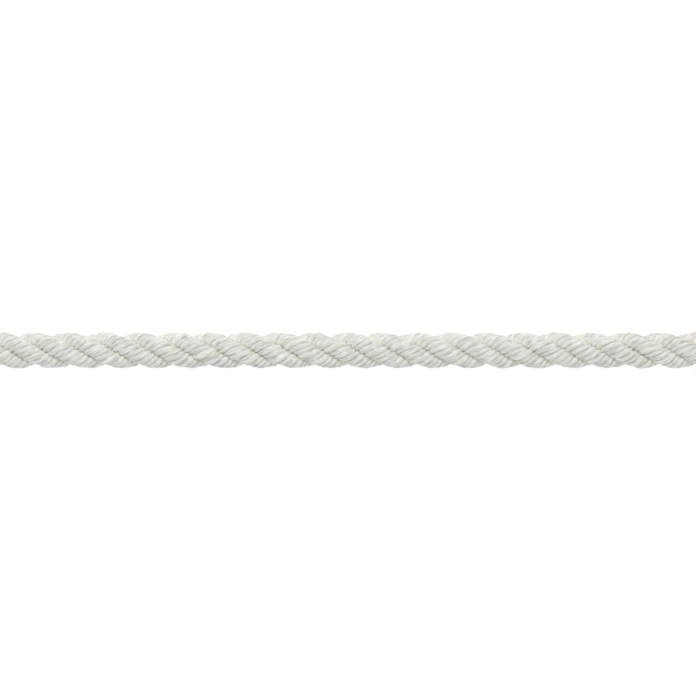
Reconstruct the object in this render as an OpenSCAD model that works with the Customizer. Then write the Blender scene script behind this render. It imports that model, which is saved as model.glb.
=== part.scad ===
// Three-strand dock line with a spliced eye. The free end lies straight, and the rest of the line is put
// away as an oblong hank in line with it, three turns wide and three high, tied on both sides.
// The eye lies on top of the hank. Millimetres, +Z up, the line lies on the plane z = 0.

/* [Rope] */
// Outer diameter of the rope
rope_d = 12.7; // [9:0.1:14]
// Length of the straight stretch, from the end of the rope to where the hank begins
run_length = 367.5; // [300:0.5:420]

/* [Hank] */
// Length of the straight sides between the folds of the hank
side_length = 80; // [76:1:90]
// Radius of the innermost fold, to the middle of the rope, in rope diameters
inner_fold = 3; // [3:0.1:3.4]

/* [Eye] */
// Radius of the crown of the eye, to the middle of the rope
crown_r = 57; // [50:1:60]
// Length of the splice behind the eye
splice_length = 50; // [44:1:52]
// Thickness of the splice, in rope diameters
splice_thick = 1.5; // [1.4:0.05:1.6]

/* [Ties] */
// Width of the strap that ties each side of the hank
tie_w = 20; // [12:1:24]
// Thickness of the strap
tie_t = 1.5; // [1:0.1:2]

/* [Rope end] */
// Length of the twine whipping at the end of the rope
whipping_l = 16; // [10:1:18]
// Length of the melted tip beyond the last strand mark
seal_l = 3; // [2:0.5:4]

/* [Hidden] */
rope_r = rope_d / 2;
columns = 3;
layers = 3;
whipping_t = 1;
seal_r = 0.92 * rope_r;

// Plan of the hank: the folds turn about near_x and far_x, and the rope comes in along y = run_y.
near_x = 97;
far_x = near_x + side_length;
outer_fold = (inner_fold + columns - 1) * rope_d;
run_y = -outer_fold;
hank_out = outer_fold + rope_r;
hank_in = inner_fold * rope_d - rope_r;
hank_h = layers * rope_d;
end_x = near_x - run_length;

// The rope run meets the hank where its side first touches the fold.
lead_in = sqrt(pow(hank_out, 2) - pow(outer_fold - rope_r, 2));
lead_x = near_x - lead_in;

// The whipping sits between the tip and the free rope, sunk into the rope by its own thickness.
whipping_x = end_x + seal_l + 2.5;
neck_r = rope_r - whipping_t;

// The splice lies along +X on top of the near side, over the strap, at the innermost column.
splice_r = splice_thick * rope_r;
splice_x = near_x + 3;
throat_x = splice_x + splice_length;
splice_y = -inner_fold * rope_d;
splice_z = hank_h + tie_t + splice_r;
top_z = hank_h + rope_r;
tie_x = (near_x + far_x) / 2;

// Last fold of the rope, which climbs from the top layer of the hank to the splice. Angles about near_x.
climb_from = 160;
climb_to = 255;

// The eye's route: from the throat out along the near side, round the crown and back across the hank.
crown_x = 207;
EYE_OUT = [
    [throat_x - 2, splice_y - 5, 49], [throat_x + 8, splice_y - 9, 48],
    [throat_x + 20, splice_y - 13, 46], [throat_x + 36, splice_y - 17, top_z]
];
EYE_BACK = [
    [184, 52, top_z], [169, 37, top_z], [164, 18, top_z], [164, -2, 45],
    [160, -18, 46.5], [throat_x - 2, splice_y + 7, 49]
];
EYE_CROWN = [
    for (a = [-90:30:90]) [crown_x + crown_r * cos(a), crown_r * sin(a), top_z]
];

// The rope run, each point with the radius of the rope there: a waist under the whipping, then full size.
RUN = [
    [end_x + seal_l, seal_r], [whipping_x - 0.01, seal_r], [whipping_x, neck_r],
    [whipping_x + whipping_l, neck_r], [whipping_x + whipping_l + 0.01, rope_r],
    for (x = [whipping_x + whipping_l + 25:25:lead_x - 12]) [x, rope_r],
    [lead_x, rope_r]
];

$fn = 64;
sides = 12;

rope_color = [0.85, 0.85, 0.81];
twine_color = [0.80, 0.80, 0.76];
tie_color = [0.10, 0.12, 0.17];

function unit(v) = v / norm(v);

// Direction of a route at point i.
function heading(p, i) = unit(p[min(i + 1, len(p) - 1)] - p[max(i - 1, 0)]);

// One ring of a tube about point c, square to direction t.
function ring(c, t, r) =
    let (across = unit(cross([0, 0, 1], t)), up = cross(t, across))
    [for (k = [0:sides - 1]) c + r * (cos(360 * k / sides) * across + sin(360 * k / sides) * up)];

// Smooth rise from 0 to 1 as u goes from 0 to 1.
function ease(u) = let (v = min(max(u, 0), 1)) v * v * (3 - 2 * v);

// Point of the last fold at angle a about near_x.
function climb_point(a) =
    let (
        r = inner_fold * rope_d,
        low = hank_h - rope_r,
        rise = ease((a - climb_from) / (climb_to - climb_from))
    )
    [near_x + r * cos(a), r * sin(a), low + rise * (splice_z - low)];

// A tube swept along points p with the radius rr[i] at each.
module tube(p, rr) {
    n = len(p);
    rings = [for (i = [0:n - 1]) ring(p[i], heading(p, i), rr[i])];
    skin = [
        for (i = [0:n - 2], k = [0:sides - 1])
            let (a = i * sides + k, b = i * sides + (k + 1) % sides)
            each [[a, b, b + sides], [a, b + sides, a + sides]]
    ];
    first = [for (k = [sides - 1:-1:0]) k];
    last = [for (k = [0:sides - 1]) (n - 1) * sides + k];
    polyhedron([for (q = rings) each q], concat([first], skin, [last]));
}

// A tube of the rope's own thickness.
module rope_tube(p) {
    tube(p, [for (q = p) rope_r]);
}

// Plan outline of an oblong ring that turns about the two fold centres.
module racetrack(r) {
    translate([near_x, 0]) circle(r);
    translate([far_x, 0]) circle(r);
    translate([near_x, -r]) square([side_length, 2 * r]);
}

// Straight stretch of the rope, from the tip to the hank.
module rope_run() {
    color(rope_color) tube([for (q = RUN) [q[0], run_y, rope_r]], [for (q = RUN) q[1]]);
}

// The turns of the hank as one solid of their outer shape, with room for the straps under both sides.
module rope_hank() {
    color(rope_color)
    difference() {
        union() {
            linear_extrude(hank_h) difference() {
                racetrack(hank_out);
                racetrack(hank_in);
            }
            translate([lead_x, run_y, rope_r]) rotate([0, 90, 0]) cylinder(h = lead_in, r = rope_r);
        }
        translate([tie_x - tie_w / 2, -hank_out - 1, -1])
            cube([tie_w, 2 * hank_out + 2, tie_t + 1]);
    }
}

// Last fold of the rope, climbing out of the hank to the splice.
module rope_lead() {
    fold = [for (a = [climb_from - 20:20:climb_to + 5]) climb_point(a)];
    flat = [[splice_x, splice_y, splice_z]];
    color(rope_color) rope_tube(concat(fold, flat));
}

// The splice: the eye's three strands tucked back into the rope, thinning away from the eye.
module eye_splice() {
    taper = 0.45 * splice_length;
    shoulder = 0.06 * splice_length;
    color(rope_color)
    translate([splice_x, splice_y, splice_z]) rotate([0, 90, 0])
        rotate_extrude() polygon([
            [0, 0], [rope_r * 1.02, 0], [splice_r, taper], [splice_r, splice_length - shoulder],
            [splice_r * 0.94, splice_length], [0, splice_length]
        ]);
}

// The eye, from the throat round the crown and back to the throat.
module rope_eye() {
    color(rope_color) rope_tube(concat(EYE_OUT, EYE_CROWN, EYE_BACK));
}

// Twine wound round the end of the rope so that the strands stay laid.
module end_whipping() {
    color(twine_color)
    translate([whipping_x, run_y, rope_r]) rotate([0, 90, 0]) difference() {
        cylinder(h = whipping_l, r = rope_r);
        translate([0, 0, -1]) cylinder(h = whipping_l + 2, r = neck_r);
    }
}

// Tip of the rope, melted into one rounded lump.
module end_seal() {
    dome = 1.2;
    color(rope_color)
    translate([end_x, run_y, rope_r]) rotate([0, 90, 0]) rotate_extrude()
        polygon([[0, 0], [seal_r - dome, 0], [seal_r, dome], [seal_r, seal_l], [0, seal_l]]);
}

// A strap closed round one side of the hank. dir is -1 for the side where the rope comes in.
module tie(dir) {
    span = columns * rope_d;
    color(tie_color)
    translate([tie_x - tie_w / 2, dir * (hank_in + span / 2), hank_h / 2 + tie_t / 2])
        rotate([90, 0, 90]) linear_extrude(tie_w) difference() {
            square([span + 2 * tie_t, hank_h + tie_t], center = true);
            square([span, hank_h - tie_t], center = true);
        }
}

module hank_tie_near() {
    tie(-1);
}

module hank_tie_far() {
    tie(1);
}

rope_run();
rope_hank();
rope_lead();
eye_splice();
rope_eye();
end_whipping();
end_seal();
hank_tie_near();
hank_tie_far();
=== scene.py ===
"""Three-strand dock line: the looks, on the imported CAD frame. Metres, +Z up."""

import math

import bpy
import numpy as np
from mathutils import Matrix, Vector


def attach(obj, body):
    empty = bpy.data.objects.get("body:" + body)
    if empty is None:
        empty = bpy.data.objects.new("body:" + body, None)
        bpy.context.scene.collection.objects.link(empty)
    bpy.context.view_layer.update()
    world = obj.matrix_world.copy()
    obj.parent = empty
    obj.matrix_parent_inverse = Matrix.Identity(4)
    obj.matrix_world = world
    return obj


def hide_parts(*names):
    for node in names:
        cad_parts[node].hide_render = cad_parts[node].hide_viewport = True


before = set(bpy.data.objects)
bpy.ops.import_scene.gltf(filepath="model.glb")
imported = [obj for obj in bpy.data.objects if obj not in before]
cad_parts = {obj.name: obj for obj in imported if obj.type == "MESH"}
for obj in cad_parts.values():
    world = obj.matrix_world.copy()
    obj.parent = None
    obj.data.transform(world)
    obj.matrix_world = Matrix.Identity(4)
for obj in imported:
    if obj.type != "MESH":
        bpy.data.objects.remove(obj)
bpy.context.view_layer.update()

MM = 0.001

# ---- sizes: the same driving dimensions as the CAD model ------------------------------------------
ROPE_D = 12.7 * MM
ROPE_R = ROPE_D / 2
LAY = 2.86 * ROPE_D  # one turn of a strand round the rope
STRANDS = 3
STRAND_R = 0.49 * ROPE_R
HELIX_R = ROPE_R - 1.04 * STRAND_R  # room for the yarns that stand proud
YARNS = 5  # outer yarns round a strand
YARN_PITCH = 0.6 * ROPE_D  # one turn of a yarn round its strand, against the lay
YARN_DEPTH = 0.2  # height of a yarn over the groove beside it, as a share of the strand's radius
YARN_WANDER = 0.15  # radians by which the edges of a yarn wander
YARN_LOOSENESS = 0.2  # variation of a yarn's height
ROUNDNESS = 0.95  # 1 for half-round yarns, 0 for flat ones
SAMPLES_A_YARN = 6
PRESSED = 1.1  # over 1, the strands bed into each other a little where they touch
ROUTE_STEP = 0.5 * MM  # between the points of the rope's centre line
OPEN_STEP = 0.42 * MM  # between the rings of a strand on the straight stretch
HANK_STEP = 0.62 * MM  # and everywhere else
TUCK_STEP = 0.4 * MM

INNER_FOLD = 3 * ROPE_D
COLUMNS = 3
LAYERS = 3
SIDE_LENGTH = 80 * MM
RUN_LENGTH = 367.5 * MM
NEAR_X = 97 * MM
FAR_X = NEAR_X + SIDE_LENGTH
HANK_H = LAYERS * ROPE_D
RUN_Y = -(INNER_FOLD + (COLUMNS - 1) * ROPE_D)
END_X = NEAR_X - RUN_LENGTH

TIE_W = 20 * MM
TIE_T = 1.5 * MM
TIE_X = (NEAR_X + FAR_X) / 2

SPLICE_R = 1.5 * ROPE_R
SPLICE_X = NEAR_X + 3 * MM
SPLICE_L = 50 * MM
THROAT_X = SPLICE_X + SPLICE_L
SPLICE_Y = -INNER_FOLD
SPLICE_Z = HANK_H + TIE_T + SPLICE_R
TOP_Z = HANK_H + ROPE_R

FLATTENING = 0.72  # thickness over width of a strand where it crosses another in the splice
BRAIDED_L = 0.77 * SPLICE_L  # the stretch of the splice over which the strands cross
FIRST_OVER = 0.74 * SPLICE_L  # where a tucked strand first passes over a standing one
CROSSINGS = 5.55  # along each tucked strand, before its end comes out
TAIL_SIZE = 0.6  # of a tucked strand where it ends, as a share of its full radius
TAPER_L = 22 * MM  # the stretch over which it thins to that

SEAL_L = 3 * MM
SEAL_R = 0.92 * ROPE_R
BARE_L = 2.5 * MM  # bare strands between the melted tip and the whipping
WHIPPING_L = 16 * MM
WHIPPING_X = END_X + SEAL_L + BARE_L
TWINE_D = 1 * MM
NECK_R = ROPE_R - TWINE_D
TWINE_START = 1.1  # angle round the rope at which the first turn of twine starts
TWINE_TAIL = 2.4 * MM  # length of each end of the twine, pulled in under the turns

STRAP_LAP = 24 * MM
STRAP_STEP = 0.4 * MM
LAP_HEIGHT = 1.04 * TIE_T  # by which the lapped end stands off the strap under it
RIB = 1.6 * MM  # between two crosswise ribs of the webbing
WARP = 0.8 * MM  # between two of its lengthwise threads
STITCH = 2.6 * MM
STITCH_R = 0.28 * MM
SEAM_INSET = 2.6 * MM  # from the webbing's edge to the seam
SEAM_END = 3 * MM  # from the end of the lap to the seam

# ---- camera: straight down on the stretch that lies between the end and the hank ------------------
VIEW_W = 19.12 * ROPE_D
VIEW_X = -110.1 * MM
VIEW_Y = RUN_Y + 0.8 * MM
CAMERA_H = 1.2
SENSOR_W = 36  # of the camera, in its own millimetres


def make_camera():
    data = bpy.data.cameras.new("camera")
    data.sensor_width = SENSOR_W
    data.lens = SENSOR_W * (CAMERA_H - ROPE_R) / VIEW_W
    data.clip_start = 0.02
    data.clip_end = 20
    camera = bpy.data.objects.new("camera", data)
    camera.location = (VIEW_X, VIEW_Y, CAMERA_H)
    bpy.context.collection.objects.link(camera)
    bpy.context.scene.camera = camera


# ---- the route of the rope's centre line ----------------------------------------------------------


def ease(u):
    v = np.clip(u, 0, 1)
    return v * v * (3 - 2 * v)


def fold_radius(column):
    """Radius of a fold to the middle of the rope; column 0 is the outermost."""
    return INNER_FOLD + (COLUMNS - 1 - column) * ROPE_D


def layer_height(layer):
    return ROPE_R + (layer - 1) * ROPE_D


# The places in the hank, as (column, layer), in the order in which the rope fills them, and the stretch of
# a turn on which it moves from each place to the next. The outer column is laid first, from the bottom up,
# the middle one from the top down, and the inner one from the bottom up.
PLACES = [(0, 1), (0, 2), (0, 3), (1, 3), (1, 2), (1, 1), (2, 1), (2, 2), (2, 3)]
MOVES = [
    "near_fold", "near_fold", "far_run", "far_fold", "far_fold", "near_run", "near_fold", "near_fold"
]
STRETCHES = ["near_run", "far_fold", "far_run", "near_fold"]
RISE = (0.39, 0.917)  # the part of a near fold in which a turn climbs onto the one below


def hank_stretch(name, start, end, step):
    """Points along one stretch of a turn, moving from one place in the hank to another."""
    radius = fold_radius(start[0])
    side = FAR_X - NEAR_X
    length = side if name.endswith("run") else math.pi * radius
    u = np.arange(0, length, step) / length
    window = RISE if name == "near_fold" else (0.0, 1.0)
    share = ease((u - window[0]) / (window[1] - window[0]))
    r = fold_radius(start[0]) + share * (fold_radius(end[0]) - fold_radius(start[0]))
    z = start[1] + share * (end[1] - start[1])
    if name == "near_run":
        x, y = NEAR_X + side * u, -r
    elif name == "far_fold":
        x, y = FAR_X + r * np.sin(math.pi * u), -r * np.cos(math.pi * u)
    elif name == "far_run":
        x, y = FAR_X - side * u, r
    else:
        x, y = NEAR_X - r * np.sin(math.pi * u), r * np.cos(math.pi * u)
    return np.column_stack([x, y, z])


def hank_route(step):
    """The turns of the hank, worked out stretch by stretch, up to the end of the fold that climbs to the
    splice. That fold's rows come with one layer of rise, which is stretched to the splice's height."""
    points = []
    at = 0
    while True:
        for name in STRETCHES:
            column, layer = PLACES[at]
            last = at == len(PLACES) - 1
            if last and name == "near_fold":
                rows = hank_stretch(name, (column, layer), (column, layer + 1), step)
                climb = rows[:, 2] - layer
                low = layer_height(layer)
                rows[:, 2] = low + climb * (SPLICE_Z - low)
                return np.vstack([*points, rows])
            moves = not last and MOVES[at] == name
            rows = hank_stretch(name, PLACES[at], PLACES[at + 1 if moves else at], step)
            rows[:, 2] = layer_height(rows[:, 2])
            points.append(rows)
            if moves:
                at += 1


def pressed(points):
    """The lowest turns lie over the straps, which lift them by the straps' thickness."""
    lift = np.exp(-(((points[:, 0] - TIE_X) / TIE_W) ** 4))
    hank = points[:, 0] > NEAR_X
    share = np.clip(1 - (points[:, 2] - ROPE_R) / (2 * ROPE_D), 0, 1)
    points[:, 2] += np.where(hank, 0.8 * TIE_T * lift * share, 0)
    return points


# The eye's route, listed point by point: the CAD model's, with one more point inside the splice.
EYE_OUT = [
    (THROAT_X - 12 * MM, SPLICE_Y - 1.5 * MM, 49 * MM),
    (THROAT_X - 2 * MM, SPLICE_Y - 5 * MM, 49 * MM),
    (THROAT_X + 8 * MM, SPLICE_Y - 9 * MM, 48 * MM),
    (THROAT_X + 20 * MM, SPLICE_Y - 13 * MM, 46 * MM),
    (THROAT_X + 36 * MM, SPLICE_Y - 17 * MM, TOP_Z),
]
EYE_BACK = [
    (184 * MM, 52 * MM, TOP_Z),
    (169 * MM, 37 * MM, TOP_Z),
    (164 * MM, 18 * MM, TOP_Z),
    (164 * MM, -2 * MM, 45 * MM),
    (160 * MM, -18 * MM, 46.5 * MM),
    (THROAT_X - 2 * MM, SPLICE_Y + 7 * MM, 49 * MM),
]
CROWN_X = 207 * MM
CROWN_R = 57 * MM
EYE_CROWN = [
    (CROWN_X + CROWN_R * math.cos(a), CROWN_R * math.sin(a), TOP_Z)
    for a in (math.radians(30 * k) for k in range(-3, 4))
]


def smooth_curve(points, step):
    """A centripetal Catmull-Rom curve through the points."""
    p = np.array(points, float)
    p = np.vstack([2 * p[0] - p[1], p, 2 * p[-1] - p[-2]])
    knots = np.concatenate([[0], np.cumsum(np.linalg.norm(np.diff(p, axis=0), axis=1) ** 0.5)])
    out = []
    for i in range(1, len(p) - 2):
        t0, t1, t2, t3 = knots[i - 1 : i + 3]
        n = max(2, int(np.linalg.norm(p[i + 1] - p[i]) / step))
        t = np.linspace(t1, t2, n, endpoint=False)[:, None]
        a1 = (t1 - t) / (t1 - t0) * p[i - 1] + (t - t0) / (t1 - t0) * p[i]
        a2 = (t2 - t) / (t2 - t1) * p[i] + (t - t1) / (t2 - t1) * p[i + 1]
        a3 = (t3 - t) / (t3 - t2) * p[i + 1] + (t - t2) / (t3 - t2) * p[i + 2]
        b1 = (t2 - t) / (t2 - t0) * a1 + (t - t0) / (t2 - t0) * a2
        b2 = (t3 - t) / (t3 - t1) * a2 + (t - t1) / (t3 - t1) * a3
        out.append((t2 - t) / (t2 - t1) * b1 + (t - t1) / (t2 - t1) * b2)
    out.append(p[-2][None])
    return np.vstack(out)


def arc_lengths(points):
    return np.concatenate([[0], np.cumsum(np.linalg.norm(np.diff(points, axis=0), axis=1))])


def resampled(points, places):
    """The points at the given lengths along a line."""
    s = arc_lengths(points)
    return np.column_stack([np.interp(places, s, points[:, k]) for k in range(3)])


def softened(points, passes):
    """The line with its small kinks rounded, its two ends held."""
    p = points.copy()
    for _ in range(passes):
        p[1:-1] = 0.25 * p[:-2] + 0.5 * p[1:-1] + 0.25 * p[2:]
    return p


def rope_route():
    """The whole centre line, from the melted tip to the throat."""
    step = ROUTE_STEP
    run = np.array([[x, RUN_Y, ROPE_R] for x in np.arange(END_X + SEAL_L, NEAR_X, step)])
    hank = pressed(hank_route(step))
    straight = [(NEAR_X, SPLICE_Y, SPLICE_Z), (SPLICE_X + 12 * MM, SPLICE_Y, SPLICE_Z)]
    eye = smooth_curve([*straight, *EYE_OUT, *EYE_CROWN, *EYE_BACK], step)
    line = np.vstack([run, hank, eye])
    s = arc_lengths(line)
    line = resampled(line, np.arange(0, s[-1], step))
    straight_end = int((RUN_LENGTH - 40 * MM) / step)
    line[straight_end:] = softened(line[straight_end:], 60)
    return line


# ---- strands ---------------------------------------------------------------------------------------


def unit(v):
    return v / np.maximum(np.linalg.norm(v, axis=-1, keepdims=True), 1e-12)


def headings(points):
    return unit(np.gradient(points, axis=0))


def frames(points):
    """Heading, left and up at each point of a line that never stands upright."""
    t = headings(points)
    left = unit(np.cross([0, 0, 1], t))
    return t, left, np.cross(t, left)


def wobble(s, seed, period, size):
    """A smooth seeded variation along a line, mean zero."""
    rng = np.random.default_rng(seed)
    n = int(s[-1] / period) + 4
    knots = rng.normal(0, size, n)
    along = s / period
    k = np.clip(along.astype(int), 0, n - 2)
    share = ease(along - k)
    return knots[k] * (1 - share) + knots[k + 1] * share


def nearest_neighbour():
    """Where a strand touches the next one: the angle from outward, and half the way between them."""
    a = np.linspace(-1.5, 1.5, 3001)
    helix = np.stack([np.cos(a + 2 * math.pi / 3), np.sin(a + 2 * math.pi / 3)]) * HELIX_R
    offset = np.stack([helix[0] - HELIX_R, helix[1], a / (2 * math.pi) * LAY])
    distance = np.linalg.norm(offset, axis=0)
    i = distance.argmin()
    return math.acos(offset[0, i] / distance[i]), distance[i] / 2


TOUCH_ANGLE, TOUCH_R = nearest_neighbour()
TOUCH_R *= PRESSED


def bulge(u):
    """Height of a yarn across its width: 1 at its crest, 0 at its edges, where u is -1 and 1."""
    low = math.sqrt(1 - ROUNDNESS**2)
    return (np.sqrt(1 - (ROUNDNESS * u) ** 2) - low) / (1 - low)


def yarn_section(s, seed):
    """Angle and height of each point round a strand, at each length s. The yarns' edges wander, and a
    wide yarn stands higher than a narrow one."""
    k = np.arange(YARNS * SAMPLES_A_YARN)
    yarn = k // SAMPLES_A_YARN
    across = k % SAMPLES_A_YARN / SAMPLES_A_YARN
    even = 2 * math.pi / YARNS
    wander = [wobble(s, seed + i, YARN_PITCH, YARN_WANDER) for i in range(YARNS)]
    edge = np.stack([i * even + wander[i] for i in range(YARNS)], 1)
    edge = np.hstack([edge, edge[:, :1] + 2 * math.pi])
    width = edge[:, yarn + 1] - edge[:, yarn]
    rises = [wobble(s, seed + 50 + i, 0.35 * YARN_PITCH, YARN_LOOSENESS) for i in range(YARNS)]
    height = bulge(2 * across - 1) * (width / even + np.stack(rises, 1)[:, yarn])
    return edge[:, yarn] + across * width, height


def strand_mesh(name, line, outward, s, radius, flat, room, seed):
    """A strand swept along its line. outward points away from the rope's middle, radius and flat are the
    strand's radius and its flattening in that direction, and room is how much wider than in a plain rope
    the strands lie apart: they are pressed flat where they touch. The yarns wind left-handed."""
    t = headings(line)
    out = unit(outward - (outward * t).sum(1, keepdims=True) * t)
    side = np.cross(t, out)
    angle, height = yarn_section(s, seed)
    a = angle - 2 * math.pi * s[:, None] / YARN_PITCH
    r = radius[:, None] * (1 - YARN_DEPTH + YARN_DEPTH * height)
    for touch in (TOUCH_ANGLE, -TOUCH_ANGLE):
        wall = TOUCH_R * room[:, None] / np.maximum(np.cos(a - touch), 0.05)
        r = np.minimum(r, wall)
    ring = (
        line[:, None]
        + (r * np.cos(a) * flat[:, None])[..., None] * out[:, None]
        + (r * np.sin(a))[..., None] * side[:, None]
    )
    piece = swept(name, ring, s)
    depth = piece.data.attributes.new("depth", "FLOAT", "POINT")
    depth.data.foreach_set("value", (0.5 - 0.5 * np.cos(a)).ravel().astype(np.float32))
    return piece


def swept(name, ring, s):
    """A tube mesh from rings of points. Its UV map holds the share of the way round, and the length in
    millimetres."""
    rows, n = ring.shape[:2]
    points = ring.reshape(-1, 3)
    i, k = np.meshgrid(np.arange(rows - 1), np.arange(n), indexing="ij")
    j = (k + 1) % n
    quads = np.stack([i * n + k, i * n + j, (i + 1) * n + j, (i + 1) * n + k], -1).reshape(-1, 4)
    mesh = bpy.data.meshes.new(name)
    first_cap = np.arange(n)[::-1]
    last_cap = np.arange((rows - 1) * n, rows * n)
    loops = np.concatenate([quads.ravel(), first_cap, last_cap])
    totals = np.concatenate([np.full(len(quads), 4), [n, n]])
    mesh.vertices.add(len(points))
    mesh.vertices.foreach_set("co", points.ravel().astype(np.float32))
    mesh.loops.add(len(loops))
    mesh.loops.foreach_set("vertex_index", loops.astype(np.int32))
    mesh.polygons.add(len(totals))
    starts = np.concatenate([[0], np.cumsum(totals)[:-1]]).astype(np.int32)
    mesh.polygons.foreach_set("loop_start", starts)
    mesh.polygons.foreach_set("loop_total", totals.astype(np.int32))
    mesh.update(calc_edges=True)
    mesh.polygons.foreach_set("use_smooth", np.ones(len(totals), bool))
    u = np.stack([k, k + 1, k + 1, k], -1).reshape(-1) / n
    v = np.stack([s[i], s[i], s[i + 1], s[i + 1]], -1).reshape(-1) / MM
    uv = np.zeros((len(loops), 2), np.float32)
    uv[: len(u), 0] = u
    uv[: len(v), 1] = v
    layer = mesh.uv_layers.new(name="along")
    layer.data.foreach_set("uv", uv.ravel())
    piece = bpy.data.objects.new(name, mesh)
    bpy.context.collection.objects.link(piece)
    return piece


def strand_places(length):
    """Lengths at which a strand gets a ring: close together on the straight stretch, wider in the hank."""
    close = np.arange(0, RUN_LENGTH, OPEN_STEP)
    return np.concatenate([close, np.arange(RUN_LENGTH, length, HANK_STEP)])


def waist(s):
    """Under the whipping the strands are drawn in and swell into the room between them. Gives the shares
    of their usual distance from the middle and of their usual radius. They taper into the melted tip."""
    inside = ease((s - 1 * MM) / (2 * MM)) * ease((2 * BARE_L + WHIPPING_L - s) / (3 * MM))
    melted = 1 - ease(s / (1.5 * MM))
    return 1 - 0.4 * inside, 1 + 0.12 * inside - 0.1 * melted


def crest_phase(x, angle):
    """Angle from the nearest strand's crest, on the straight stretch."""
    third = 2 * math.pi / STRANDS
    return (angle - 2 * math.pi * (x - END_X - SEAL_L) / LAY + 0.5 * third) % third - 0.5 * third


# ---- the splice: three standing strands and three tucked ones cross over and under ------------------


class Splice:
    """Sizes along the splice, all by the rope's own length s."""

    def __init__(self, route, s_route):
        self.start = s_route[np.where(route[:, 0] < SPLICE_X)[0][-1]]
        self.end = self.start + BRAIDED_L
        self.spacing = LAY / (2 * STRANDS)  # between one crossing and the next
        self.first_over = self.start + FIRST_OVER
        self.tail = self.first_over - CROSSINGS * self.spacing  # where the tucked ends come out

    def inside(self, s):
        """1 within the splice, 0 in the plain rope."""
        return ease((s - self.start) / (5 * MM)) * ease((self.end + 4 * MM - s) / (6 * MM))

    def swing(self, s):
        """1 where a tucked strand passes over a standing one, -1 where it passes under."""
        return np.cos(math.pi * (s - self.first_over) / self.spacing)

    def tuck_size(self, s):
        """Radius of a tucked strand, as a share of a standing one's."""
        return TAIL_SIZE + (1 - TAIL_SIZE) * ease((s - self.start) / TAPER_L)

    def apart(self, s):
        """Distance between the middles of two strands where they cross."""
        return STRAND_R * FLATTENING * (1 + self.tuck_size(s))

    def middle(self, s):
        return 0.95 * HELIX_R + 0.5 * self.apart(s)

    def standing_radius(self, s):
        w = self.inside(s)
        return (1 - w) * HELIX_R + w * (self.middle(s) - 0.5 * self.apart(s) * self.swing(s))

    def tucked_radius(self, s):
        return self.middle(s) + 0.5 * self.apart(s) * self.swing(s)

    def flat(self, s):
        return 1 - (1 - FLATTENING) * self.inside(s)


def yarn_seed(k):
    """The seed of strand k's yarns, the same in the rope and in its tuck."""
    return 100 * k + 7


def make_strands(route, splice):
    """The three strands over the whole rope, and each one's place, heading, outward and length at its
    end."""
    s = strand_places(arc_lengths(route)[-1])
    centre = resampled(route, s)
    _, left, up = frames(centre)
    pieces, ends = [], []
    for k in range(STRANDS):
        turn = 2 * math.pi * (s / LAY + k / STRANDS) + wobble(s, 40 + k, 17 * MM, 0.03)
        out = np.cos(turn)[:, None] * left + np.sin(turn)[:, None] * up
        drawn_in, swollen = waist(s)
        helix = splice.standing_radius(s) * drawn_in
        line = centre + helix[:, None] * out
        name, radius, room = f"strand_{k + 1}", STRAND_R * swollen, helix / HELIX_R
        pieces.append(strand_mesh(name, line, out, s, radius, splice.flat(s), room, yarn_seed(k)))
        ends.append((line[-1], unit(line[-1] - line[-2]), out[-1], s[-1]))
    return pieces, ends


def bridge(a, heading_a, b, heading_b, step):
    """A smooth curve from a to b that leaves and arrives in the given directions."""
    reach = np.linalg.norm(b - a)
    u = np.linspace(0, 1, max(3, int(1.2 * reach / step)))[:, None]
    return (
        (2 * u**3 - 3 * u**2 + 1) * a
        + (u**3 - 2 * u**2 + u) * reach * heading_a
        + (3 * u**2 - 2 * u**3) * b
        + (u**3 - u**2) * reach * heading_b
    )


def tuck_path(route, splice, angle):
    """A tucked strand's line and outward directions, from the throat back to where its end comes out."""
    s = np.arange(splice.end, splice.tail, -TUCK_STEP)
    centre = resampled(route, s)
    t, left, up = frames(centre[::-1])
    left, up = left[::-1], up[::-1]
    turn = angle - 2 * math.pi * (s - splice.first_over) / LAY
    out = np.cos(turn)[:, None] * left + np.sin(turn)[:, None] * up
    return s, centre + splice.tucked_radius(s)[:, None] * out, out


def make_tucks(route, splice, ends):
    """Each strand of the eye's end leaves the lay at the throat and is tucked back into the rope. Of the
    ways to pair the strands with the gaps, the one with the shortest links is taken."""
    pieces = []
    crossing = 2 * math.pi * splice.first_over / LAY
    angles = [crossing + 2 * math.pi * k / STRANDS for k in range(STRANDS)]
    starts = [tuck_path(route, splice, a)[1][0] for a in angles]

    def links(shift):
        gaps = [end[0] - starts[(k + shift) % STRANDS] for k, end in enumerate(ends)]
        return sum(np.linalg.norm(gap) for gap in gaps)

    best = min(range(STRANDS), key=links)
    for k, (end, heading, outward, length) in enumerate(ends):
        s, line, out = tuck_path(route, splice, angles[(k + best) % STRANDS])
        link = bridge(end, heading, line[0], unit(line[1] - line[0]), TUCK_STEP)[:-1]
        share = ease(np.linspace(0, 1, len(link)))[:, None]
        whole = np.vstack([link, line])
        outs = np.vstack([unit((1 - share) * outward + share * out[0]), out])
        along = arc_lengths(whole)
        rope_s = np.concatenate([np.full(len(link), s[0]), s])
        left_over = along[-1] - along
        dome = np.sqrt(np.clip(1 - (1 - left_over / (2.4 * MM)).clip(0, 1) ** 2, 0.02, 1))
        radius = STRAND_R * splice.tuck_size(rope_s) * dome
        flat = np.concatenate([1 - (1 - FLATTENING) * share[:, 0], np.full(len(s), FLATTENING)])
        free = np.full(len(along), 2.0)
        name = f"splice_tuck_{k + 1}"
        pieces.append(strand_mesh(name, whole, outs, length + along, radius, flat, free, yarn_seed(k)))
    return pieces


# ---- the rope's end -------------------------------------------------------------------------------


def round_axis(x, radius, angle):
    """Points about the axis of the straight stretch."""
    return np.stack([x, RUN_Y + radius * np.cos(angle), ROPE_R + radius * np.sin(angle)], -1)


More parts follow.
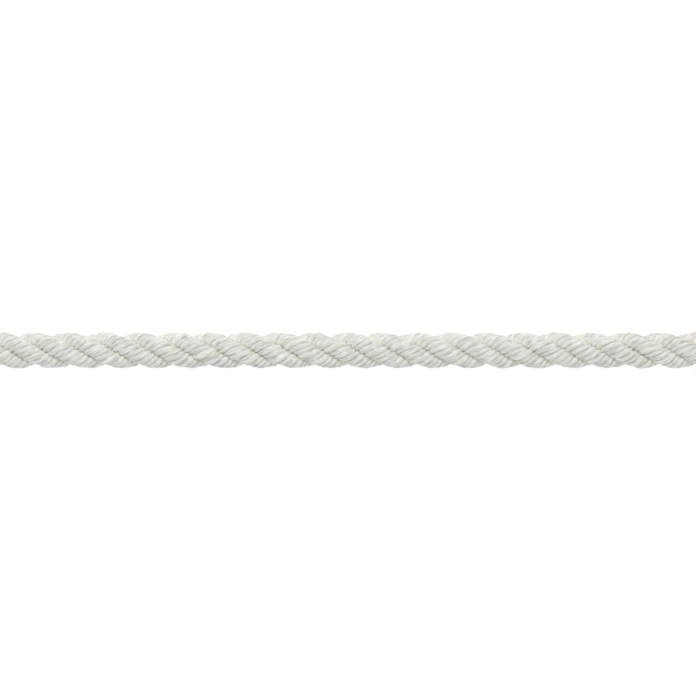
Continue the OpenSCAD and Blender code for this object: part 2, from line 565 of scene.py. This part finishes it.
def tube_about(name, line, outward, s, section):
    """A tube swept along a line; section gives the radius for each ring and angle."""
    t = headings(line)
    out = unit(outward - (outward * t).sum(1, keepdims=True) * t)
    side = np.cross(t, out)
    n = section.shape[1]
    a = np.arange(n) / n * 2 * math.pi
    ring = (
        line[:, None]
        + (section * np.cos(a))[..., None] * out[:, None]
        + (section * np.sin(a))[..., None] * side[:, None]
    )
    return swept(name, ring, s)


def make_whipping():
    """Waxed twine wound tightly round the rope, with its two ends pulled in under the turns."""
    turns = round(WHIPPING_L / TWINE_D)
    wind = np.linspace(0, 2 * math.pi * turns, 130 * turns)
    pitch = (WHIPPING_L - TWINE_D) / turns
    radius = NECK_R + 0.5 * TWINE_D
    x = WHIPPING_X + 0.5 * TWINE_D + pitch * wind / (2 * math.pi) + wobble(wind, 71, 5.0, 0.03 * MM)
    angle = wind + TWINE_START
    hollow = 0.5 - 0.5 * np.cos(STRANDS * crest_phase(x, angle))
    coil = round_axis(x, radius * (1 - 0.1 * hollow) + wobble(wind, 72, 3.0, 0.03 * MM), angle)
    tail = np.arange(1, 8) / 7
    sink = radius - 0.5 * TWINE_D * tail
    before = round_axis(x[0] - TWINE_TAIL * tail, sink, angle[0] - 0.25 * tail)[::-1]
    after = round_axis(x[-1] + TWINE_TAIL * tail, sink, angle[-1] + 0.25 * tail)
    line = softened(np.vstack([before, coil, after]), 3)
    line = resampled(line, np.arange(0, arc_lengths(line)[-1], 0.4 * MM))
    s = arc_lengths(line)
    outward = line - np.array([0, RUN_Y, ROPE_R])
    outward[:, 0] = 0
    a = np.arange(12) / 12 * 2 * math.pi
    plies = 0.88 + 0.12 * np.abs(np.cos(1.5 * (a[None] + 2 * math.pi * s[:, None] / (2.6 * MM))))
    return tube_about("whipping_twine", line, outward, s, 0.54 * TWINE_D * plies)


def make_tip():
    """The three strands run together in one melted, rounded lump."""
    rings, n = 22, 96
    u = np.linspace(0, 1, rings)[:, None]
    a = np.arange(n)[None] / n * 2 * math.pi
    skirt = 1.2 * MM
    depth = SEAL_L + skirt
    x = END_X + depth * (1 - np.sin(0.5 * math.pi * (1 - u)))
    lobe = crest_phase(x, a)
    half_chord = np.sqrt(np.clip(STRAND_R**2 - (HELIX_R * np.sin(lobe)) ** 2, 0, None))
    outline = HELIX_R * np.cos(lobe) + half_chord
    melt = 0.25 + 0.7 * (1 - u)
    rounded = (1 - melt) * outline + melt * SEAL_R
    dome = np.clip(1 - (1 - (x - END_X) / (1.7 * MM)).clip(0, 1) ** 2, 0, 1) ** 0.5
    lumps = 1 + 0.015 * np.sin(3 * a + 1.0) * np.cos(9 * u + 2) + 0.012 * np.sin(7 * a - 5 * u)
    rim = 1 - 0.08 * u**8
    r = np.minimum(rounded * lumps * rim, ROPE_R) * np.maximum(dome, 0.02)
    ring = round_axis(np.broadcast_to(x, r.shape), r, np.broadcast_to(a, r.shape))
    return swept("melted_tip", ring[::-1], (x[::-1, 0] - x[0, 0]))


# ---- the straps -------------------------------------------------------------------------------------


def strap_outline(places, grow):
    """Points and outward directions at lengths along the strap's outline, and the length of it all. The
    outline is an upright rectangle with round corners. Zero is the middle of the outer side, and it runs
    down and under the bundle. grow stands the points off it."""
    half_w = 0.5 * COLUMNS * ROPE_D + 0.5 * TIE_T
    half_h = 0.5 * HANK_H
    corner = ROPE_R + 0.5 * TIE_T
    flat_w, flat_h = half_w - corner, half_h - corner
    quarter = 0.5 * math.pi * corner
    bottom_half = [flat_h, quarter, 2 * flat_w, quarter, flat_h]
    stretches = [*bottom_half[:-1], 2 * flat_h, *bottom_half[1:]]
    lengths = np.cumsum([0, *stretches])
    p = np.mod(places, lengths[-1])
    out = np.zeros((len(p), 2))
    at = np.zeros((len(p), 2))
    corners = [(flat_w, -flat_h), (-flat_w, -flat_h), (-flat_w, flat_h), (flat_w, flat_h)]
    sides = [(1, 0), (0, -1), (-1, 0), (0, 1), (1, 0)]
    for i in range(9):
        on = (p >= lengths[i]) & (p <= lengths[i + 1])
        share = (p[on] - lengths[i]) / (lengths[i + 1] - lengths[i])
        first, second = np.array(sides[i // 2]), np.array(sides[(i + 1) // 2])
        if i % 2:
            turn = 0.5 * math.pi * share[:, None]
            out[on] = np.cos(turn) * first + np.sin(turn) * second
            at[on] = np.array(corners[i // 2]) + corner * out[on]
        else:
            begin = np.array(corners[i // 2 - 1]) if i > 0 else np.array([flat_w, 0.0])
            finish = np.array(corners[i // 2]) if i < 8 else np.array([flat_w, 0.0])
            out[on] = first
            at[on] = begin + (finish - begin) * share[:, None] + corner * first
    return at + out * grow[:, None], out, lengths[-1]


def make_strap(name, side):
    """A webbing strap closed round one side of the hank, its end lapped over its own start and sewn."""
    _, _, around = strap_outline(np.zeros(1), np.zeros(1))
    s = np.arange(0, around + STRAP_LAP, STRAP_STEP)
    over = ease((s - (around - 9 * MM)) / (8 * MM))
    flat, out, _ = strap_outline(s - 0.5 * STRAP_LAP, over * LAP_HEIGHT)
    centre_y = INNER_FOLD + 0.5 * (COLUMNS - 1) * ROPE_D
    lift = 0.5 * (HANK_H + TIE_T)
    line = np.column_stack([np.full(len(s), TIE_X), side * (centre_y + flat[:, 0]), lift + flat[:, 1]])
    outward = np.column_stack([np.zeros(len(s)), side * out[:, 0], out[:, 1]])
    a = np.arange(48) / 48 * 2 * math.pi
    blunt = 0.22
    across = np.sign(np.cos(a)) * np.abs(np.cos(a)) ** blunt
    proud = np.sign(np.sin(a)) * np.abs(np.sin(a)) ** blunt
    left = np.minimum(s, s[-1] - s)
    tongue = np.where(s > 0.5 * s[-1], 1 - 0.16 * (1 - left / (4 * MM)).clip(0, 1) ** 2, 1.0)
    ribs = 1 - 0.07 * (0.5 + 0.5 * np.cos(2 * math.pi * s / RIB))
    selvedge = 1 - 0.25 * np.abs(across) ** 8
    ends = np.sqrt(np.clip(1 - (1 - left / (0.8 * MM)).clip(0, 1) ** 2, 0.05, 1))
    x = 0.5 * TIE_W * tongue[:, None] * across[None]
    y = 0.5 * TIE_T * (ribs * ends)[:, None] * (proud * selvedge)[None]
    ring = line[:, None] + y[..., None] * outward[:, None] + x[..., None] * np.array([side, 0.0, 0.0])
    return swept(name, ring, s)


def make_stitches(name, side):
    """Two rows of thread along the lapped end, and three across it."""
    centre_y = INNER_FOLD + 0.5 * (COLUMNS - 1) * ROPE_D
    y = side * (centre_y + 0.5 * COLUMNS * ROPE_D + TIE_T + LAP_HEIGHT)
    lift = 0.5 * (HANK_H + TIE_T)
    reach, inset = 0.5 * STRAP_LAP - SEAM_END, 0.5 * TIE_W - SEAM_INSET
    rows = [(-inset, -reach, -inset, reach), (inset, -reach, inset, reach)]
    rows += [(-inset, z, inset, z) for z in (-reach, 0.0, reach)]
    points, faces = [], []
    for x0, z0, x1, z1 in rows:
        length = math.hypot(x1 - x0, z1 - z0)
        count = round(length / STITCH)
        for i in range(count):
            a, b = (i + 0.14) / count, (i + 0.86) / count
            ends = [(x0 + (x1 - x0) * t, z0 + (z1 - z0) * t) for t in (a, b)]
            add_stitch(points, faces, ends, (TIE_X, y, lift), side)
    mesh = bpy.data.meshes.new(name)
    mesh.from_pydata(points, [], faces)
    mesh.polygons.foreach_set("use_smooth", [True] * len(mesh.polygons))
    piece = bpy.data.objects.new(name, mesh)
    bpy.context.collection.objects.link(piece)
    return piece


def add_stitch(points, faces, ends, origin, side):
    """One stitch: a short thread that dips into the webbing at both ends."""
    (x0, z0), (x1, z1) = ends
    length = math.hypot(x1 - x0, z1 - z0)
    ux, uz = (x1 - x0) / length, (z1 - z0) / length
    rings, n = 7, 8
    base = len(points)
    for i in range(rings):
        t = i / (rings - 1)
        hump = math.sin(math.pi * t)
        r = STITCH_R * (0.35 + 0.65 * hump**0.5)
        for k in range(n):
            a = 2 * math.pi * k / n
            across, proud = r * math.cos(a), r * math.sin(a) + 0.22 * MM * hump - 0.15 * MM
            points.append((
                origin[0] + x0 + (x1 - x0) * t - uz * across,
                origin[1] + side * proud,
                origin[2] + z0 + (z1 - z0) * t + ux * across,
            ))
    for i in range(rings - 1):
        for k in range(n):
            a, b = base + i * n + k, base + i * n + (k + 1) % n
            quad = (a, b, b + n, a + n)
            faces.append(quad if side < 0 else quad[::-1])
    caps = [[base + k for k in range(n)][::-1], [base + (rings - 1) * n + k for k in range(n)]]
    faces.extend(cap if side < 0 else cap[::-1] for cap in caps)


# ---- materials -------------------------------------------------------------------------------------

CREST = (0.78, 0.762, 0.695)  # top of a yarn
GROOVE_SHADE = (0.57, 0.563, 0.51)  # painted shade between two yarns
PAINTED_GLINT = (0.97, 0.955, 0.915)  # painted highlight: the palest strokes on the yarns
PAINTED_GAP_LIGHT = (0.96, 0.95, 0.83)  # painted light between two strands, standing in for the light that passes from one to the other
WARM = (0.88, 0.78, 0.70)  # faint patches


class Nodes:
    """A short way to write a node tree."""

    def __init__(self, name):
        self.material = bpy.data.materials.new(name)
        self.material.use_nodes = True
        self.tree = self.material.node_tree
        self.shader = self.tree.nodes["Principled BSDF"]

    def add(self, kind, **values):
        node = self.tree.nodes.new(kind)
        for key, value in values.items():
            setattr(node, key, value)
        return node

    def link(self, a, b):
        self.tree.links.new(a, b)

    def math(self, operation, a, b=0.0, c=0.0):
        node = self.add("ShaderNodeMath", operation=operation)
        for socket, value in zip(node.inputs, (a, b, c)):
            if isinstance(value, (int, float)):
                socket.default_value = value
            else:
                self.link(value, socket)
        return node.outputs[0]

    def ramp(self, value, stops):
        node = self.add("ShaderNodeValToRGB")
        elements = node.color_ramp.elements
        while len(elements) < len(stops):
            elements.new(0.5)
        for element, (place, colour) in zip(elements, stops):
            element.position = place
            element.color = (*colour, 1)
        self.link(value, node.inputs[0])
        return node.outputs[0]

    def noise(self, vector, scale, detail=2.0, dimensions="3D"):
        node = self.add("ShaderNodeTexNoise", noise_dimensions=dimensions)
        node.inputs["Scale"].default_value = scale
        node.inputs["Detail"].default_value = detail
        self.link(vector, node.inputs["Vector"])
        return node.outputs[0]

    def mix(self, share, a, b, blend="MIX"):
        node = self.add("ShaderNodeMix", data_type="RGBA", blend_type=blend)
        for socket, value in zip((node.inputs[0], node.inputs[6], node.inputs[7]), (share, a, b)):
            if isinstance(value, (int, float)):
                socket.default_value = value
            elif isinstance(value, tuple):
                socket.default_value = (*value, 1)
            else:
                self.link(value, socket)
        return node.outputs[2]

    def scaled(self, vector, scale):
        node = self.add("ShaderNodeMapping")
        node.inputs["Scale"].default_value = scale
        self.link(vector, node.inputs["Vector"])
        return node.outputs[0]

    def bump(self, height, strength, distance):
        node = self.add("ShaderNodeBump")
        node.inputs["Strength"].default_value = strength
        node.inputs["Distance"].default_value = distance
        self.link(height, node.inputs["Height"])
        self.link(node.outputs[0], self.shader.inputs["Normal"])


def rope_material():
    """Off-white nylon: fine filaments along each yarn, painted shade in the grooves and between filaments,
    painted highlight strokes, painted light deep between the strands, faint warm patches.
    """
    n = Nodes("rope_nylon")
    uv = n.add("ShaderNodeUVMap", uv_map="along").outputs[0]
    parts = n.add("ShaderNodeSeparateXYZ")
    n.link(uv, parts.inputs[0])
    yarn = n.math("MULTIPLY", parts.outputs[0], float(YARNS))
    crest = n.math("SINE", n.math("MULTIPLY", n.math("FRACT", yarn), math.pi))
    filaments = n.noise(n.scaled(uv, (70.0, 0.45, 1.0)), 1.0, 3.0)
    strokes = n.noise(n.scaled(uv, (float(4 * YARNS), 0.55, 1.0)), 1.0, 2.0)
    depth = n.add("ShaderNodeAttribute", attribute_name="depth").outputs["Fac"]
    patches = n.noise(n.scaled(uv, (1.5, 0.06, 1.0)), 1.0, 2.0)
    # painted shade: darker from each yarn's crest into the grooves beside it
    tone = n.mix(n.math("POWER", crest, 0.7), GROOVE_SHADE, CREST)
    # painted highlight: random strokes toward the palest tone
    tone = n.mix(n.ramp(strokes, [(0.42, (0, 0, 0)), (0.58, (1, 1, 1))]), tone, PAINTED_GLINT)
    # painted shade: dark streaks between the filaments
    tone = n.mix(n.ramp(filaments, [(0.35, (0.6, 0.6, 0.6)), (0.55, (0, 0, 0))]), tone, GROOVE_SHADE)
    # painted light: paler deep in the rope, where the strands face inward toward each other
    tone = n.mix(n.ramp(depth, [(0.2, (0, 0, 0)), (0.55, (1, 1, 1))]), tone, PAINTED_GAP_LIGHT)
    tone = n.mix(n.ramp(patches, [(0.5, (0, 0, 0)), (0.72, (0.4, 0.4, 0.4))]), tone, WARM)
    n.link(tone, n.shader.inputs["Base Color"])
    n.shader.inputs["Roughness"].default_value = 0.36
    n.shader.inputs["Sheen Weight"].default_value = 0.15
    n.shader.inputs["Sheen Roughness"].default_value = 0.4
    n.shader.inputs["Specular IOR Level"].default_value = 0.6
    n.shader.inputs["Subsurface Weight"].default_value = 0.6
    n.shader.inputs["Subsurface Radius"].default_value = (0.95, 1.0, 0.8)
    n.shader.inputs["Subsurface Scale"].default_value = 0.0018
    n.bump(n.math("ADD", filaments, strokes), 1.0, 0.4 * MM)
    return n.material


def twine_material():
    """Waxed polyester twine: a little darker and glossier than the rope, with its plies' shade."""
    n = Nodes("whipping_twine")
    uv = n.add("ShaderNodeUVMap", uv_map="along").outputs[0]
    fibres = n.noise(n.scaled(uv, (14.0, 2.2, 1.0)), 1.0, 3.0)
    grime = n.noise(n.scaled(uv, (0.6, 0.03, 1.0)), 1.0, 2.0)
    tone = n.ramp(fibres, [(0.3, (0.50, 0.49, 0.44)), (0.7, (0.78, 0.77, 0.71))])
    tone = n.mix(n.math("MULTIPLY", grime, 0.25), tone, (0.70, 0.62, 0.48))
    n.link(tone, n.shader.inputs["Base Color"])
    n.shader.inputs["Roughness"].default_value = 0.42
    n.shader.inputs["Coat Weight"].default_value = 0.12
    n.shader.inputs["Coat Roughness"].default_value = 0.35
    n.bump(fibres, 0.4, 0.1 * MM)
    return n.material


def melted_material():
    """Nylon that has been melted and set again: yellowed and a little browned at the tip, smooth."""
    n = Nodes("melted_nylon")
    point = n.add("ShaderNodeTexCoord").outputs["Object"]
    parts = n.add("ShaderNodeSeparateXYZ")
    n.link(point, parts.inputs[0])
    ripples = n.noise(point, 380.0, 2.0)
    specks = n.noise(point, 1500.0, 2.0)
    toward_tip = n.math("DIVIDE", n.math("SUBTRACT", END_X + SEAL_L, parts.outputs[0]), SEAL_L)
    uneven = n.math("MULTIPLY", n.math("SUBTRACT", ripples, 0.5), 1.2)
    scorch = [(0.0, (0.78, 0.77, 0.70)), (0.6, (0.72, 0.67, 0.52)), (1.0, (0.50, 0.40, 0.25))]
    tone = n.ramp(n.math("ADD", toward_tip, uneven), scorch)
    tone = n.mix(n.ramp(specks, [(0.62, (0, 0, 0)), (0.75, (0.5, 0.5, 0.5))]), tone, (0.35, 0.26, 0.16))
    n.link(tone, n.shader.inputs["Base Color"])
    n.shader.inputs["Roughness"].default_value = 0.3
    n.shader.inputs["Subsurface Weight"].default_value = 0.2
    n.shader.inputs["Subsurface Scale"].default_value = 0.001
    n.bump(ripples, 0.4, 0.3 * MM)
    return n.material


def webbing_material():
    """Navy webbing: a woven face of crossed threads, worn paler on the crests of its ribs."""
    n = Nodes("tie_webbing")
    uv = n.add("ShaderNodeUVMap", uv_map="along").outputs[0]
    point = n.add("ShaderNodeTexCoord").outputs["Object"]
    across, along = n.add("ShaderNodeSeparateXYZ"), n.add("ShaderNodeSeparateXYZ")
    n.link(point, across.inputs[0])
    n.link(uv, along.inputs[0])
    warp = n.math("SINE", n.math("MULTIPLY", across.outputs[0], 2 * math.pi / WARP))
    weft = n.math("SINE", n.math("MULTIPLY", along.outputs[1], 2 * math.pi / (RIB / MM)))
    weave = n.math("MULTIPLY_ADD", n.math("MULTIPLY", warp, weft), 0.5, 0.5)
    fuzz = n.noise(point, 1800.0, 3.0)
    wear = n.noise(point, 60.0, 2.0)
    tone = n.ramp(weave, [(0.1, (0.010, 0.016, 0.040)), (0.9, (0.040, 0.060, 0.120))])
    tone = n.mix(n.ramp(fuzz, [(0.45, (0, 0, 0)), (0.75, (0.3, 0.3, 0.3))]), tone, (0.16, 0.19, 0.26))
    tone = n.mix(n.ramp(wear, [(0.5, (0, 0, 0)), (0.8, (0.2, 0.2, 0.2))]), tone, (0.12, 0.14, 0.19))
    n.link(tone, n.shader.inputs["Base Color"])
    n.shader.inputs["Roughness"].default_value = 0.75
    n.shader.inputs["Sheen Weight"].default_value = 0.3
    n.shader.inputs["Sheen Roughness"].default_value = 0.5
    n.bump(n.math("ADD", weave, n.math("MULTIPLY", fuzz, 0.4)), 0.6, 0.3 * MM)
    return n.material


def thread_material():
    """Pale sewing thread with a twist along it."""
    n = Nodes("strap_thread")
    point = n.add("ShaderNodeTexCoord").outputs["Object"]
    twist = n.noise(n.scaled(point, (1.0, 1.0, 2.5)), 1400.0, 2.0)
    tone = n.ramp(twist, [(0.3, (0.30, 0.32, 0.36)), (0.7, (0.62, 0.64, 0.66))])
    n.link(tone, n.shader.inputs["Base Color"])
    n.shader.inputs["Roughness"].default_value = 0.5
    n.bump(twist, 0.4, 0.1 * MM)
    return n.material


# ---- stage -----------------------------------------------------------------------------------------

COVE_R = 6.0  # the flat floor's radius
COVE_BEND = 0.6  # radius of the bend up into the wall
COVE_H = 1.2


def make_stage():
    """A round white floor that curves up into a low wall, so that no horizon shows."""
    angles = np.linspace(0, math.pi / 2, 9)
    bend = [(COVE_R + COVE_BEND * math.sin(a), COVE_BEND * (1 - math.cos(a))) for a in angles]
    profile = [(0.01, 0.0), (0.5, 0.0), *bend, (COVE_R + COVE_BEND, COVE_H)]
    n = 96
    turns = [2 * math.pi * k / n for k in range(n)]
    points = [(x * math.cos(a), x * math.sin(a), z) for x, z in profile for a in turns]
    faces = [
        (i * n + k, (i + 1) * n + k, (i + 1) * n + (k + 1) % n, i * n + (k + 1) % n)
        for i in range(len(profile) - 1)
        for k in range(n)
    ]
    mesh = bpy.data.meshes.new("floor")
    mesh.from_pydata(points, [], [tuple(range(n)), *faces])
    floor = bpy.data.objects.new("floor", mesh)
    bpy.context.collection.objects.link(floor)
    n = Nodes("floor_paper")
    n.shader.inputs["Base Color"].default_value = (0.2, 0.2, 0.2, 1)
    n.shader.inputs["Roughness"].default_value = 0.9
    n.shader.inputs["Emission Color"].default_value = (1, 1, 1, 1)
    n.shader.inputs["Emission Strength"].default_value = 0.87
    mesh.materials.append(n.material)


def make_lights():
    """Soft light from all round, and one window of light high on the far side of the rope."""
    world = bpy.data.worlds.new("studio")
    world.use_nodes = True
    world.node_tree.nodes["Background"].inputs[0].default_value = (0.93, 0.96, 1.0, 1)
    world.node_tree.nodes["Background"].inputs[1].default_value = 0.645
    bpy.context.scene.world = world
    data = bpy.data.lights.new("key", "AREA")
    data.shape = "RECTANGLE"
    data.size = 0.5
    data.size_y = 0.4
    data.energy = 11.8
    data.color = (0.995, 0.99, 0.985)
    key = bpy.data.objects.new("key", data)
    key.location = (-0.15, 0.66, 1.5)
    aim = Vector((VIEW_X, RUN_Y, 0)) - key.location
    key.rotation_euler = aim.to_track_quat("-Z", "Y").to_euler()
    bpy.context.collection.objects.link(key)


def dress(piece, slot, material, *nodes):
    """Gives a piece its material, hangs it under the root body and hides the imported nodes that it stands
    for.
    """
    piece.data.materials.append(material)
    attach(piece, "root")
    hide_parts(*nodes)


make_camera()
route = rope_route()
splice = Splice(route, arc_lengths(route))
strands, ends = make_strands(route, splice)
tucks = make_tucks(route, splice, ends)
nylon = rope_material()
for piece in strands:
    dress(piece, "rope_nylon", nylon, "rope_run", "rope_hank", "rope_lead", "rope_eye")
for piece in tucks:
    dress(piece, "rope_nylon", nylon, "eye_splice")

whipping = make_whipping()
dress(whipping, "whipping_twine", twine_material(), "end_whipping")
tip = make_tip()
dress(tip, "melted_nylon", melted_material(), "end_seal")

webbing, thread = webbing_material(), thread_material()
for side, word in ((-1, "near"), (1, "far")):
    dress(make_strap(f"strap_{word}", side), "tie_webbing", webbing, f"hank_tie_{word}")
    dress(make_stitches(f"strap_{word}_stitches", side), "tie_webbing", thread, f"hank_tie_{word}")

make_stage()
make_lights()
bpy.context.scene.view_settings.view_transform = "Standard"
